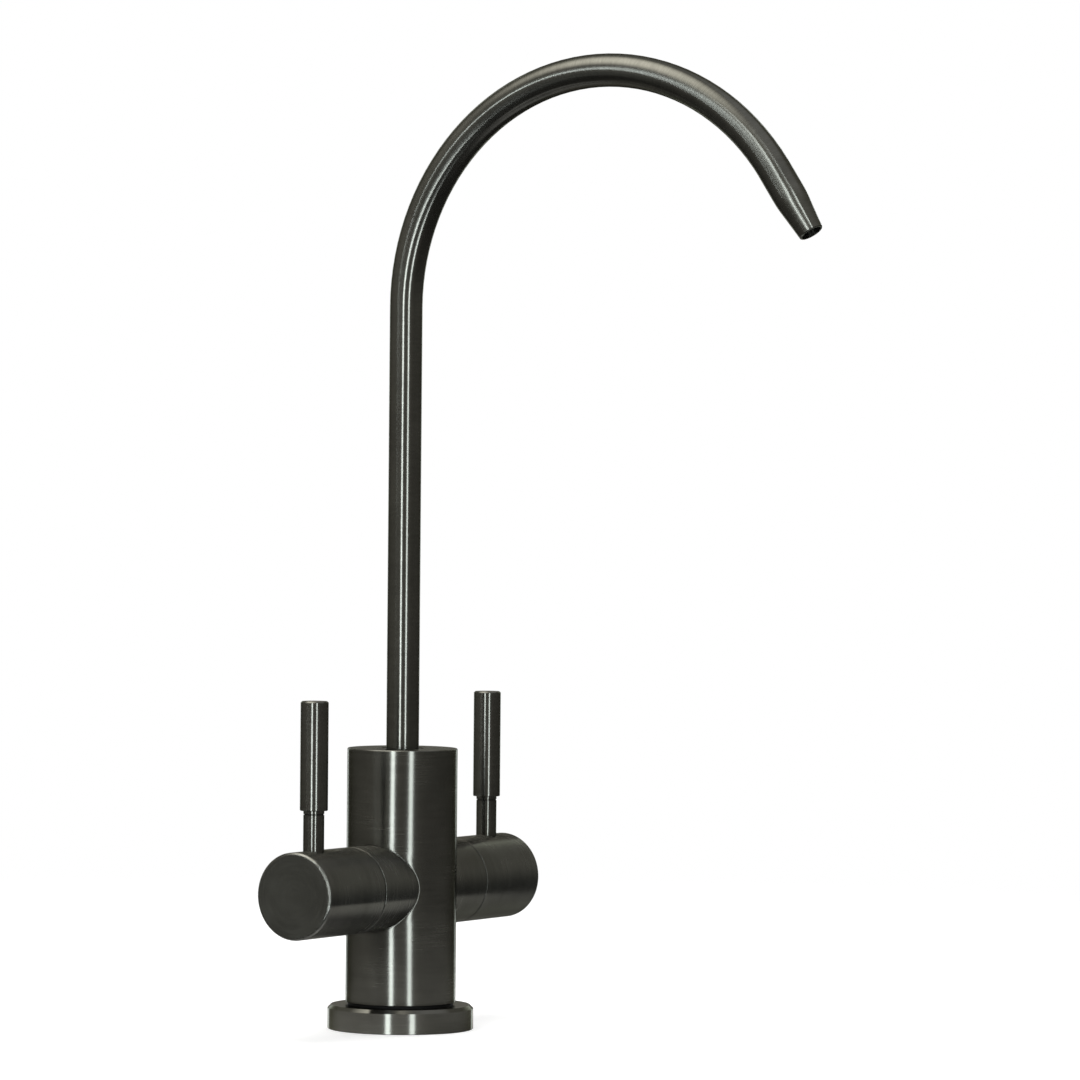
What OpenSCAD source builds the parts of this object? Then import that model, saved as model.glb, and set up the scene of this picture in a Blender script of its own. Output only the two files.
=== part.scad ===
// Drinking water filter tap with two upright levers and a swivelling gooseneck spout.
// Millimetres, +Z up. The origin is the centre of the underside, in the plane of the worktop.
// The spout points along -Y, towards the person, and the two valves lie along X.

/* [Base] */
// Diameter of the round base plate
base_diameter = 42.4; // [40:0.1:56]
// Height of the base plate
base_height = 7; // [5:0.1:10]
// Chamfer of the base plate's top edge
base_chamfer = 1; // [0.4:0.1:1.6]
// Chamfer of the base plate's bottom edge and of the body's edges
edge_chamfer = 0.2; // [0.1:0.05:0.5]
// Depth of the groove for the seal in the base's underside
seal_groove_depth = 2; // [1:0.1:3]
// Land left on each side of that groove
seal_land = 1.9; // [1.2:0.1:2.4]
// Thickness of the dark ring between the base and the body
gasket_thickness = 0.7; // [0.6:0.1:1.6]
// How far that ring stands back from the body's side
gasket_setback = 0.7; // [0.3:0.1:0.9]

/* [Body] */
// Diameter of the upright body
body_diameter = 32; // [30:0.1:36]
// Height of the body above the dark ring
body_height = 73.7; // [70:0.1:95]
// Step from the body's side in to the spigot that passes through the base
body_shoulder = 2; // [1.6:0.1:2.6]
// Height of the valves' common axis above the worktop
valve_axis_height = 41.5; // [40:0.1:46]
// Diameter of the side arms and of the turning barrels
barrel_diameter = 25; // [24:0.1:28]
// Distance from the body's axis to the end of each side arm
arm_reach = 26.9; // [25:0.1:32]
// Radius of the upright waterway and of the two passages that join it
waterway_radius = 3.5; // [2.5:0.1:4]

/* [Worktop fixings] */
// Diameter of the tapped hole for each hose, an M8 x 1 thread at its root
hose_port_diameter = 6.92; // [6:0.01:8]
// Depth of the hose holes
hose_port_depth = 12; // [8:0.5:16]
// Distance of each hose hole from the body's axis
hose_port_offset = 9; // [8.9:0.1:9.6]
// Radius of the drilling from each hose hole up to its valve
inlet_radius = 2.2; // [1.5:0.1:2.3]
// Diameter of the tapped hole for the fixing stud, an M6 thread at its root
stud_hole_diameter = 5; // [4:0.1:6]
// Depth of the stud hole
stud_hole_depth = 16; // [10:0.5:20]

/* [Valves] */
// Diameter of the bore that takes each valve cartridge
cartridge_diameter = 17; // [16.4:0.1:18]
// Distance from the body's axis to the valve seat
seat_distance = 6.5; // [6:0.1:6.7]
// Thickness of the rubber seat seal
seat_seal_thickness = 1.5; // [1:0.1:2]
// Radius of the ceramic discs
disc_radius = 6.8; // [6.4:0.1:6.9]
// Thickness of each ceramic disc
disc_thickness = 2.5; // [2:0.1:3]
// Inner radius of the ports through the discs
port_inner_radius = 1.8; // [1.6:0.1:2.2]
// Outer radius of the ports through the discs
port_outer_radius = 4.2; // [3.6:0.1:4.3]
// Angle that each port covers
port_angle = 78; // [60:1:80]
// Radial width of the seat seal
seat_seal_width = 2.2; // [1.6:0.1:2.3]
// Radius of the turning spindle
spindle_radius = 4; // [3.6:0.1:4.4]
// Width across the square end of the spindle
drive_square = 5; // [4.4:0.1:5]
// Length of the square end inside the barrel
drive_length = 8; // [6:0.5:9]
// Thickness of the cartridge's hexagon
hexagon_thickness = 3; // [2:0.1:4]
// Width across the flats of that hexagon
hexagon_across_flats = 18; // [17.6:0.1:18.6]
// Section diameter of the cartridge's outer ring seal
cartridge_ring_section = 1.2; // [1:0.1:1.5]
// Section diameter of the ring seals on the spindle and the spout
ring_section = 1.1; // [0.9:0.1:1.2]

/* [Handles] */
// Length of each turning barrel
barrel_length = 28.8; // [27.6:0.1:36]
// Gap between a side arm and its barrel
seam_gap = 0.3; // [0.2:0.05:0.6]
// Chamfer of the edges on both sides of that gap
seam_chamfer = 0.15; // [0.1:0.05:0.4]
// Chamfer of the barrels' outer ends
barrel_chamfer = 0.55; // [0.2:0.05:0.8]
// Wall of the barrel around the cartridge's hexagon
barrel_wall = 1.7; // [1:0.1:1.8]
// Distance from the body's axis to each lever's axis
lever_reach = 46; // [45:0.1:47]
// Diameter of the lever's stem
stem_diameter = 6; // [5.4:0.1:7]
// Length of stem seen between the barrel and the grip
stem_exposed = 11.4; // [8:0.1:20]
// Depth to which the stem is let into the barrel
stem_seat_depth = 3; // [2:0.1:5]
// Diameter of the stem's threaded ends
stem_tail_diameter = 5; // [4:0.1:5.2]
// Length of the stem's threaded tail below its seat
stem_tail_length = 8; // [5:0.5:10]
// Diameter of the grip
grip_diameter = 8; // [7.2:0.1:12]
// Length of the grip
grip_length = 31.1; // [24:0.1:60]
// Chamfer of the grip's top edge
grip_chamfer = 0.4; // [0.2:0.1:0.8]
// Length of the stem's upper end inside the grip
grip_engagement = 16; // [10:0.5:20]

/* [Spout] */
// Outside diameter of the spout tube
tube_diameter = 9.5; // [9.2:0.1:10]
// Wall of the spout tube
tube_wall = 1; // [0.8:0.1:1.2]
// Length of the straight tube above the body
straight_height = 128; // [90:0.5:180]
// Radius of the arch, at the middle of the tube
bend_radius = 66.9; // [45:0.1:90]
// Angle through which the tube bends
bend_angle = 146; // [120:0.5:165]
// Length of straight tube after the arch
nose_straight = 9.5; // [4:0.1:30]
// Length of the tapered end
taper_length = 11.5; // [9:0.1:16]
// Radius of the soft start of the taper
taper_blend = 35; // [10:1:60]
// Outside diameter of the outlet
outlet_diameter = 7.1; // [6.2:0.1:7.6]
// Wall of the tapered end at the outlet
outlet_wall = 0.55; // [0.4:0.05:0.8]
// Chamfer of the outlet's outer edge
outlet_chamfer = 0.2; // [0.1:0.05:0.3]
// How far the straightener sits inside the outlet
straightener_recess = 2; // [1:0.1:4]
// Thickness of the straightener
straightener_thickness = 3; // [2:0.1:4]
// Radius of the straightener's holes
straightener_hole_radius = 0.55; // [0.4:0.05:0.6]
// Depth of the spout socket in the body
socket_depth = 29.4; // [28:0.1:31]
// Length of the bush at the mouth of the socket
bush_length = 8; // [5:0.1:9]
// Wall of that bush
bush_wall = 1.4; // [1:0.1:2.5]
// How far the bush sits below the body's top
bush_recess = 0.2; // [0.1:0.05:0.5]
// Thickness of the washer that carries the spout
washer_thickness = 1; // [0.6:0.1:1.5]
// Length of the turned brass spigot below the tube
spigot_length = 19; // [18:0.1:20]
// Length of the spigot's neck inside the tube
spigot_neck = 7; // [4:0.1:9]

/* [Small screws] */
// Diameter of the headless screws
screw_diameter = 4; // [3:0.1:4]
// How far each screw sits below the surface
screw_recess = 1.6; // [0.8:0.1:2]
// Width across the flats of the screws' sockets
screw_socket = 2; // [1.5:0.1:2]
// Depth of the screws' sockets
screw_socket_depth = 2; // [1.5:0.1:2.5]

/* [Clearances] */
// Radial gap between pieces that turn in each other
running_gap = 0.05; // [0.03:0.01:0.08]
// Radial gap between pieces that are screwed, pressed or glued together
fixed_gap = 0.03; // [0.02:0.01:0.05]
// Gap along the axis between pieces that slide on each other
film_gap = 0.05; // [0.03:0.01:0.1]
// Free room around seals and parts that pass each other
free_gap = 0.3; // [0.2:0.05:0.4]

/* [Hidden] */
$fn = 96;
// Length by which a cut runs past the face it opens
over = 1;

gunmetal = "#3b3b38";
tube_metal = "#424340";
brass = "#b08d4a";
rubber = "#1b1b1b";
ceramic = "#e8e4da";
polymer = "#202122";
screw_steel = "#55565a";

base_r = base_diameter / 2;
body_r = body_diameter / 2;
barrel_r = barrel_diameter / 2;
body_bottom = base_height + gasket_thickness;
body_top = body_bottom + body_height;
spigot_r = body_r - body_shoulder;
base_hole_r = spigot_r + fixed_gap;

cartridge_r = cartridge_diameter / 2;
seal_face = seat_distance + seat_seal_thickness;
moving_face = seal_face + disc_thickness + film_gap;
disc_end = moving_face + disc_thickness;
// Room around the ceramic discs, and the wall of the cartridge around them
disc_room = 0.2;
cavity_r = disc_radius + disc_room;
cartridge_neck_wall = 0.7;
// Windows that let water in behind the moving disc
window_length = 2.4;
window_width = disc_radius;
// Thrust collar on the spindle
collar_start = disc_end + window_length;
collar_length = 1.3;
collar_width = 1.4;
collar_r = spindle_radius + collar_width;
cavity_end = collar_start + collar_length + film_gap;
// Grooves of the ring seals: the cartridge's back from the arm's end, the spindle's on from the cavity's end
groove_side_gap = 0.2;
cartridge_groove_setback = 4;
cartridge_groove_width = cartridge_ring_section + 2 * groove_side_gap;
cartridge_groove_end = arm_reach - cartridge_groove_setback;
cartridge_groove_start = cartridge_groove_end - cartridge_groove_width;
spindle_groove_offset = 2.6;
spindle_groove_start = cavity_end + spindle_groove_offset;
spindle_bore_r = spindle_radius + running_gap;
// Tongue of the spindle in the slot of the moving disc
tongue_width = 2.4;
tongue_depth = 1.1;
tongue_reach = collar_r;
// The passages from the seats are this much slimmer than the waterway that they meet
passage_step = 0.5;
seat_hole_r = waterway_radius - passage_step;

hexagon_end = arm_reach + hexagon_thickness;
clip_thickness = 0.8;
clip_start = hexagon_end + film_gap;
clip_end = clip_start + clip_thickness;
clip_groove_depth = 0.8;
clip_height = 1.8;
// The clip's mouth is this much narrower than the groove it snaps onto
clip_hold = 1;
clip_inner_r = spindle_radius - clip_groove_depth;
clip_outer_r = spindle_radius + clip_height;
barrel_start = arm_reach + seam_gap;
barrel_end = barrel_start + barrel_length;
barrel_recess_r = barrel_r - barrel_wall;
barrel_recess_end = clip_end + free_gap;
drive_end = barrel_recess_end + drive_length;
// Free depth past the end of the spindle's square
drive_play = 1;
drive_socket = drive_square + 2 * fixed_gap;
handle_screw_x = barrel_recess_end + drive_length / 2;

stem_r = stem_diameter / 2;
stem_tail_r = stem_tail_diameter / 2;
grip_r = grip_diameter / 2;
barrel_top = valve_axis_height + barrel_r;
stem_seat = barrel_top - stem_seat_depth;
stem_foot = stem_seat - stem_tail_length;
grip_bottom = barrel_top + stem_exposed;
grip_top = grip_bottom + grip_length;
stem_head = grip_bottom + grip_engagement;
// Free depth past the ends of the stem's tails
tail_room = 0.5;
// Fine turned line round the stem, just under the grip
neck_line_drop = 0.9;
neck_line_width = 0.3;
neck_line_depth = 0.25;

screw_r = screw_diameter / 2;
screw_tip_step = 0.4;
screw_tip_r = screw_r - screw_tip_step;
screw_tip_length = 2;

tube_r = tube_diameter / 2;
tube_bore_r = tube_r - tube_wall;
outlet_r = outlet_diameter / 2;
outlet_bore_r = outlet_r - outlet_wall;
spring_height = body_top + straight_height;
nose_end = nose_straight + taper_length;
// The nose is drawn this much fuller than the arch, and starts this far back along it, so that they join
nose_step = 0.03;
nose_overlap = 1;
// Steps in the soft start of the taper
taper_steps = 6;
socket_r = tube_r + running_gap;
socket_floor = body_top - socket_depth;
washer_top = socket_floor + washer_thickness;
spigot_foot = washer_top + film_gap;
tube_foot = spigot_foot + spigot_length;
bush_r = socket_r + bush_wall;
bush_seat = body_top - bush_recess - bush_length;
spigot_neck_wall = 1;
spigot_bore_r = tube_bore_r - spigot_neck_wall;
ring_groove_width = ring_section + 2 * groove_side_gap;
// Places of the spigot's two ring seals and of its groove for the keeper screw
lower_ring_offset = 2.2;
ring_spacing = 3.4;
keeper_spacing = 6;
lower_ring_z = spigot_foot + lower_ring_offset;
upper_ring_z = lower_ring_z + ring_spacing;
keeper_z = upper_ring_z + keeper_spacing;
keeper_depth = 0.9;
keeper_width = 2 * screw_tip_r + 4 * free_gap;

// Side of the body that a valve is on
LEFT = -1;
RIGHT = 1;

// Half outline of a solid bar with chamfered edges: c0 at the low end, c1 at the high end
function bar_outline(r, z0, z1, c0, c1) =
  [[0, z0], [r - c0, z0], [r, z0 + c0], [r, z1 - c1], [r - c1, z1], [0, z1]];

module turned(outline) {
  rotate_extrude() polygon(outline);
}

// Ring about Z between two heights
module ring(r_in, r_out, z0, z1) {
  translate([0, 0, z0])
    linear_extrude(z1 - z0)
      difference() {
        circle(r_out);
        circle(r_in);
      }
}

// Solid cylinder about Z between two heights
module rod(r, z0, z1) {
  translate([0, 0, z0]) cylinder(r = r, h = z1 - z0);
}

// Ring seal about Z with a round section, centred at height z, seated on radius r_in
module ring_seal(r_in, section, z) {
  translate([0, 0, z])
    rotate_extrude()
      translate([r_in + section / 2, 0]) circle(section / 2);
}

// Puts a shape that is drawn for the right-hand valve on the chosen side
module on_side(side) {
  mirror([side == LEFT ? 1 : 0, 0, 0]) children();
}

// Lays a shape drawn along Z along the valves' axis, so that its Z becomes the distance from the body's axis
module along_valve() {
  translate([0, 0, valve_axis_height]) rotate([0, 90, 0]) children();
}

// Headless screw along Z with its socket at the top face and its tip at the low end
module headless_screw(z_tip, z_top, tip_length) {
  difference() {
    union() {
      rod(screw_tip_r, z_tip, z_tip + tip_length);
      rod(screw_r, z_tip + tip_length, z_top);
    }
    translate([0, 0, z_top - screw_socket_depth])
      cylinder(d = screw_socket / cos(30), h = screw_socket_depth + over, $fn = 6);
  }
}

// Pair of opposite ports through a ceramic disc, centred on the angle a
module disc_ports(z0, z1, a) {
  for (turn = [0, 180])
    rotate([0, 0, a + turn - port_angle / 2])
      translate([0, 0, z0])
        rotate_extrude(angle = port_angle)
          translate([port_inner_radius, 0])
            square([port_outer_radius - port_inner_radius, z1 - z0]);
}

module base_flange() {
  color(gunmetal)
    difference() {
      turned(bar_outline(base_r, 0, base_height, edge_chamfer, base_chamfer));
      rod(base_hole_r, -over, base_height + over);
      ring(base_hole_r + seal_land, base_r - seal_land, -over, seal_groove_depth);
    }
}

module base_seal() {
  color(rubber)
    ring(base_hole_r + seal_land + free_gap, base_r - seal_land - free_gap, 0, seal_groove_depth);
}

module body_gasket() {
  color(rubber) ring(base_hole_r, body_r - gasket_setback, base_height, body_bottom);
}

// Body with its two side arms, bored for the valves, the hoses, the stud and the spout
module body() {
  color(gunmetal)
    difference() {
      union() {
        turned(bar_outline(body_r, body_bottom, body_top, edge_chamfer, edge_chamfer));
        rod(spigot_r, 0, body_bottom + over);
        along_valve()
          turned(bar_outline(barrel_r, -arm_reach, arm_reach, seam_chamfer, seam_chamfer));
      }
      rod(bush_r, bush_seat, body_top + over);
      rod(socket_r, socket_floor, body_top);
      rod(waterway_radius, valve_axis_height, socket_floor + over);
      along_valve() rod(seat_hole_r, -seat_distance - over, seat_distance + over);
      rod(stud_hole_diameter / 2, -over, stud_hole_depth);
      for (side = [LEFT, RIGHT])
        on_side(side) {
          along_valve() rod(cartridge_r, seat_distance, arm_reach + over);
          translate([hose_port_offset, 0, 0]) {
            rod(hose_port_diameter / 2, -over, hose_port_depth);
            rod(inlet_radius, hose_port_depth - over, valve_axis_height);
          }
        }
      translate([0, 0, keeper_z])
        rotate([-90, 0, 0])
          rod(screw_r + fixed_gap, 0, body_r + over);
    }
}

module spout_bush() {
  color(polymer) ring(socket_r, bush_r - fixed_gap, bush_seat, bush_seat + bush_length);
}

module spout_washer() {
  color(polymer) ring(waterway_radius, socket_r - fixed_gap, socket_floor, washer_top);
}

// Screw through the back of the body, its tip in the spigot's groove
module spout_keeper_screw() {
  color(screw_steel)
    translate([0, 0, keeper_z])
      rotate([-90, 0, 0])
        headless_screw(tube_r - keeper_depth + free_gap, body_r - screw_recess, screw_tip_length);
}

// Moves a shape drawn along Z to the end of the arch, where Z runs on along the tube
module at_nose() {
  translate([0, -bend_radius, spring_height])
    rotate([90, 0, 90])
      rotate([0, 0, bend_angle])
        translate([bend_radius, 0, 0])
          rotate([-90, 0, 0])
            children();
}

// Half outline of the tapered end, from radius r0 by an arc to a cone that meets the outlet's radius r1
function taper_outline(r0, r1) =
  let (
    slope = atan((r0 - r1) / taper_length),
    lead = taper_blend * tan(slope / 2)
  )
    concat(
      [for (i = [0 : taper_steps])
        let (a = slope * i / taper_steps)
          [r0 - taper_blend * (1 - cos(a)), nose_straight - lead + taper_blend * sin(a)]],
      [[r1, nose_end]]
    );

// Radius of the tapered bore at a distance from the outlet
function taper_bore_r(from_outlet) =
  outlet_bore_r + (tube_bore_r + nose_step - outlet_bore_r) * from_outlet / taper_length;

// Solid of radius r that follows the spout from the height z0 over the arch, and ends in a turned nose
module spout_run(r, z0, nose_outline) {
  rod(r, z0, spring_height);
  translate([0, -bend_radius, spring_height])
    rotate([90, 0, 90])
      rotate_extrude(angle = bend_angle)
        translate([bend_radius, 0]) circle(r);
  at_nose() turned(concat([[0, -nose_overlap], [r + nose_step, -nose_overlap]], nose_outline));
}

module spout_tube() {
  color(tube_metal)
    difference() {
      spout_run(tube_r, tube_foot, concat(taper_outline(tube_r + nose_step, outlet_r), [[0, nose_end]]));
      spout_run(tube_bore_r, tube_foot - over,
        concat(taper_outline(tube_bore_r + nose_step, outlet_bore_r),
          [[outlet_bore_r, nose_end + over], [0, nose_end + over]]));
      at_nose()
        turned([
          [outlet_r - outlet_chamfer, nose_end], [outlet_r, nose_end - outlet_chamfer],
          [outlet_r + over, nose_end - outlet_chamfer], [outlet_r + over, nose_end + over],
          [outlet_r - outlet_chamfer, nose_end + over]
        ]);
    }
}

// Brass end of the tube, which turns in the body's socket
module spout_spigot() {
  color(brass)
    difference() {
      union() {
        rod(tube_r, spigot_foot, tube_foot);
        rod(tube_bore_r - fixed_gap, tube_foot - over, tube_foot + spigot_neck);
      }
      rod(spigot_bore_r, spigot_foot - over, tube_foot + spigot_neck + over);
      for (z = [lower_ring_z, upper_ring_z])
        ring(tube_r - ring_section, tube_r + over, z - ring_groove_width / 2, z + ring_groove_width / 2);
      ring(tube_r - keeper_depth, tube_r + over, keeper_z - keeper_width / 2, keeper_z + keeper_width / 2);
    }
}

module spout_ring_seals() {
  color(rubber)
    for (z = [lower_ring_z, upper_ring_z])
      ring_seal(tube_r - ring_section + fixed_gap, ring_section - fixed_gap, z);
}

// Pierced insert that evens the flow inside the outlet
module straightener() {
  hole_circle = taper_bore_r(straightener_recess) - 2 * straightener_hole_radius;
  depth = straightener_recess + straightener_thickness;
  z_in = nose_end - depth;
  difference() {
    turned([
      [0, z_in], [taper_bore_r(depth) - fixed_gap, z_in],
      [taper_bore_r(straightener_recess) - fixed_gap, z_in + straightener_thickness],
      [0, z_in + straightener_thickness]
    ]);
    rod(straightener_hole_radius, z_in - over, z_in + depth + over);
    for (a = [0 : 60 : 300])
      rotate([0, 0, a])
        translate([hole_circle, 0, 0])
          rod(straightener_hole_radius, z_in - over, z_in + depth + over);
  }
}

module flow_straightener() {
  color(polymer) at_nose() straightener();
}

module seat_seal(side) {
  color(rubber)
    on_side(side) along_valve() ring(disc_radius - seat_seal_width, disc_radius, seat_distance, seal_face);
}

// Ceramic disc that stays still, its ports to the front and back
module fixed_disc(side) {
  color(ceramic)
    on_side(side)
      along_valve()
        difference() {
          rod(disc_radius, seal_face, seal_face + disc_thickness);
          disc_ports(seal_face - over, seal_face + disc_thickness + over, 90);
        }
}

// Ceramic disc that turns, its ports above and below while the valve is shut
module moving_disc(side) {
  color(ceramic)
    on_side(side)
      along_valve()
        difference() {
          rod(disc_radius, moving_face, disc_end);
          disc_ports(moving_face - over, disc_end + over, 0);
          translate([0, 0, disc_end - tongue_depth + over])
            cube([tongue_width + 2 * fixed_gap, 3 * disc_radius, 2 * over], center = true);
        }
}

// Brass housing that holds the discs and guides the spindle
module cartridge(side) {
  groove_r = cartridge_r - cartridge_ring_section;
  color(brass)
    on_side(side)
      along_valve()
        difference() {
          union() {
            rod(cavity_r + cartridge_neck_wall, seal_face, cavity_end);
            rod(cartridge_r - fixed_gap, cavity_end, arm_reach + over / 2);
            translate([0, 0, arm_reach])
              cylinder(d = hexagon_across_flats / cos(30), h = hexagon_thickness, $fn = 6);
          }
          rod(cavity_r, seal_face - over, cavity_end);
          rod(spindle_bore_r, cavity_end - over, hexagon_end + over);
          ring(groove_r, cartridge_r + over, cartridge_groove_start, cartridge_groove_end);
          for (a = [0, 90])
            rotate([0, 0, a])
              translate([0, 0, disc_end + window_length / 2])
                cube([window_width, 3 * cartridge_r, window_length], center = true);
        }
}

module cartridge_ring_seal(side) {
  color(rubber)
    on_side(side)
      along_valve()
        ring_seal(cartridge_r - cartridge_ring_section + fixed_gap, cartridge_ring_section - 2 * fixed_gap,
          cartridge_groove_start + cartridge_groove_width / 2);
}

// Spindle with a tongue for the moving disc, a thrust collar and a square end for the barrel
module spindle(side) {
  color(brass)
    on_side(side)
      along_valve()
        difference() {
          union() {
            translate([-tongue_width / 2, -tongue_reach, disc_end - tongue_depth + fixed_gap])
              cube([tongue_width, 2 * tongue_reach, tongue_depth + window_length]);
            rod(collar_r, collar_start, collar_start + collar_length);
            rod(spindle_radius, collar_start, clip_end);
            translate([-drive_square / 2, -drive_square / 2, clip_end - over / 2])
              cube([drive_square, drive_square, drive_end - clip_end + over / 2]);
          }
          ring(spindle_radius - ring_section, spindle_radius + over,
            spindle_groove_start, spindle_groove_start + ring_groove_width);
          ring(clip_inner_r, spindle_radius + over, clip_start, clip_end);
        }
}

module spindle_ring_seal(side) {
  color(rubber)
    on_side(side)
      along_valve()
        ring_seal(spindle_radius - ring_section + fixed_gap, ring_section - fixed_gap,
          spindle_groove_start + ring_groove_width / 2);
}

// Open clip that keeps the spindle in the cartridge
module spindle_clip(side) {
  mouth = 2 * clip_inner_r - clip_hold;
  color(screw_steel)
    on_side(side)
      along_valve()
        difference() {
          ring(clip_inner_r + fixed_gap, clip_outer_r, clip_start, clip_end);
          translate([-mouth / 2, 0, clip_start - over])
            cube([mouth, 2 * clip_outer_r, clip_thickness + 2 * over]);
        }
}

// Turning barrel with a closed outer end
module barrel(side) {
  color(gunmetal)
    on_side(side)
      difference() {
        along_valve()
          turned(bar_outline(barrel_r, barrel_start, barrel_end, seam_chamfer, barrel_chamfer));
        along_valve() rod(barrel_recess_r, barrel_start - over, barrel_recess_end);
        along_valve()
          translate([-drive_socket / 2, -drive_socket / 2, barrel_recess_end - over])
            cube([drive_socket, drive_socket, drive_length + drive_play + over]);
        translate([lever_reach, 0, 0]) {
          rod(stem_r + fixed_gap, stem_seat, barrel_top + over);
          rod(stem_tail_r + fixed_gap, stem_foot - tail_room, stem_seat + over);
        }
        translate([handle_screw_x, 0, 0])
          rod(screw_r + fixed_gap, valve_axis_height - barrel_r - over, valve_axis_height);
      }
}

// Screw through the underside of the barrel, its tip on the spindle's square end
module barrel_screw(side) {
  color(screw_steel)
    on_side(side)
      translate([handle_screw_x, 0, valve_axis_height])
        rotate([180, 0, 0])
          headless_screw(drive_square / 2, barrel_r - screw_recess, screw_tip_length);
}

module lever_stem(side) {
  color(tube_metal)
    on_side(side)
      translate([lever_reach, 0, 0])
        difference() {
          union() {
            rod(stem_tail_r, stem_foot, stem_seat + over);
            rod(stem_r, stem_seat, grip_bottom);
            rod(stem_tail_r, grip_bottom - over, stem_head);
          }
          ring(stem_r - neck_line_depth, stem_r + over,
            grip_bottom - neck_line_drop - neck_line_width, grip_bottom - neck_line_drop);
        }
}

module lever_grip(side) {
  color(gunmetal)
    on_side(side)
      translate([lever_reach, 0, 0])
        difference() {
          turned(bar_outline(grip_r, grip_bottom, grip_top, grip_chamfer / 2, grip_chamfer));
          rod(stem_tail_r + fixed_gap, grip_bottom - over, stem_head + tail_room);
        }
}

base_flange();
base_seal();
body_gasket();
body();
spout_bush();
spout_washer();
spout_keeper_screw();
spout_tube();
spout_spigot();
spout_ring_seals();
flow_straightener();
seat_seal(LEFT);  // left_seat_seal
fixed_disc(LEFT);  // left_fixed_disc
moving_disc(LEFT);  // left_moving_disc
cartridge(LEFT);  // left_cartridge
cartridge_ring_seal(LEFT);  // left_cartridge_ring_seal
spindle(LEFT);  // left_spindle
spindle_ring_seal(LEFT);  // left_spindle_ring_seal
spindle_clip(LEFT);  // left_spindle_clip
barrel(LEFT);  // left_barrel
barrel_screw(LEFT);  // left_barrel_screw
lever_stem(LEFT);  // left_lever_stem
lever_grip(LEFT);  // left_lever_grip
seat_seal(RIGHT);  // right_seat_seal
fixed_disc(RIGHT);  // right_fixed_disc
moving_disc(RIGHT);  // right_moving_disc
cartridge(RIGHT);  // right_cartridge
cartridge_ring_seal(RIGHT);  // right_cartridge_ring_seal
spindle(RIGHT);  // right_spindle
spindle_ring_seal(RIGHT);  // right_spindle_ring_seal
spindle_clip(RIGHT);  // right_spindle_clip
barrel(RIGHT);  // right_barrel
barrel_screw(RIGHT);  // right_barrel_screw
lever_stem(RIGHT);  // right_lever_stem
lever_grip(RIGHT);  // right_lever_grip
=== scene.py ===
import math

import bmesh
import bpy
from mathutils import Matrix, Quaternion, Vector


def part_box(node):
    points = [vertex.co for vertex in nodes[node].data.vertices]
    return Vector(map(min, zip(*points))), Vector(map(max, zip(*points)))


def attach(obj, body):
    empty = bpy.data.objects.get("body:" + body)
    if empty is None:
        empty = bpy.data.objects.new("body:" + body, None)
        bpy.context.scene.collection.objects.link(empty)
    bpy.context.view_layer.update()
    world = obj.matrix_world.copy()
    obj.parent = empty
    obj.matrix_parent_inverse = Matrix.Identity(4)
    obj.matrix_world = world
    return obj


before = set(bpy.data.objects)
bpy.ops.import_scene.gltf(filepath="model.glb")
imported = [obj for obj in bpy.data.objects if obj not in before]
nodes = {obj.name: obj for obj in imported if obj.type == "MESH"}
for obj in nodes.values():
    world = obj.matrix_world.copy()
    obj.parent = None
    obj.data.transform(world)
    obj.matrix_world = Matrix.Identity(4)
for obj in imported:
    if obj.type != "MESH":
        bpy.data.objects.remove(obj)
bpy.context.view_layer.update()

MM = 0.001
X_AXIS = Vector((1, 0, 0))
Y_AXIS = Vector((0, 1, 0))
Z_AXIS = Vector((0, 0, 1))
SIDES = {"left": -1, "right": 1}


# Sizes and places of the pieces, in metres

def middle(node):
    """Middle of a piece's box."""
    low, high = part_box(node)
    return (low + high) / 2


def half_size(node):
    """Half of a piece's box along each axis."""
    low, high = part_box(node)
    return (high - low) / 2


BODY_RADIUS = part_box("body")[1].y
BODY_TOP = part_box("body")[1].z
BODY_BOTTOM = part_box("body_gasket")[1].z
BASE_RADIUS = half_size("base_flange").x
BASE_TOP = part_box("base_flange")[1].z
VALVE_HEIGHT = middle("left_barrel").z
ARM_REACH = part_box("body")[1].x
BARREL_RADIUS = half_size("left_barrel").y
BARREL_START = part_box("right_barrel")[0].x
BARREL_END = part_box("right_barrel")[1].x
LEVER_REACH = middle("right_lever_grip").x
GRIP_RADIUS = half_size("left_lever_grip").x
GRIP_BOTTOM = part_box("left_lever_grip")[0].z
GRIP_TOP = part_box("left_lever_grip")[1].z
STEM_RADIUS = half_size("left_lever_stem").x

# The spout's arch, as it is bent: middle line radius, angle, and the height where it starts,
# and then its straight nose
BEND_RADIUS = 66.9 * MM
BEND_ANGLE = math.radians(146)
SPRING_HEIGHT = BODY_TOP + 128 * MM
NOSE_LENGTH = 21 * MM
OUTLET_RADIUS = 3.55 * MM


# Materials

# How finely plain noise splits, and how many rays soften a rounded edge
NOISE_DETAIL = 2.0
EDGE_SAMPLES = 8


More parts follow.
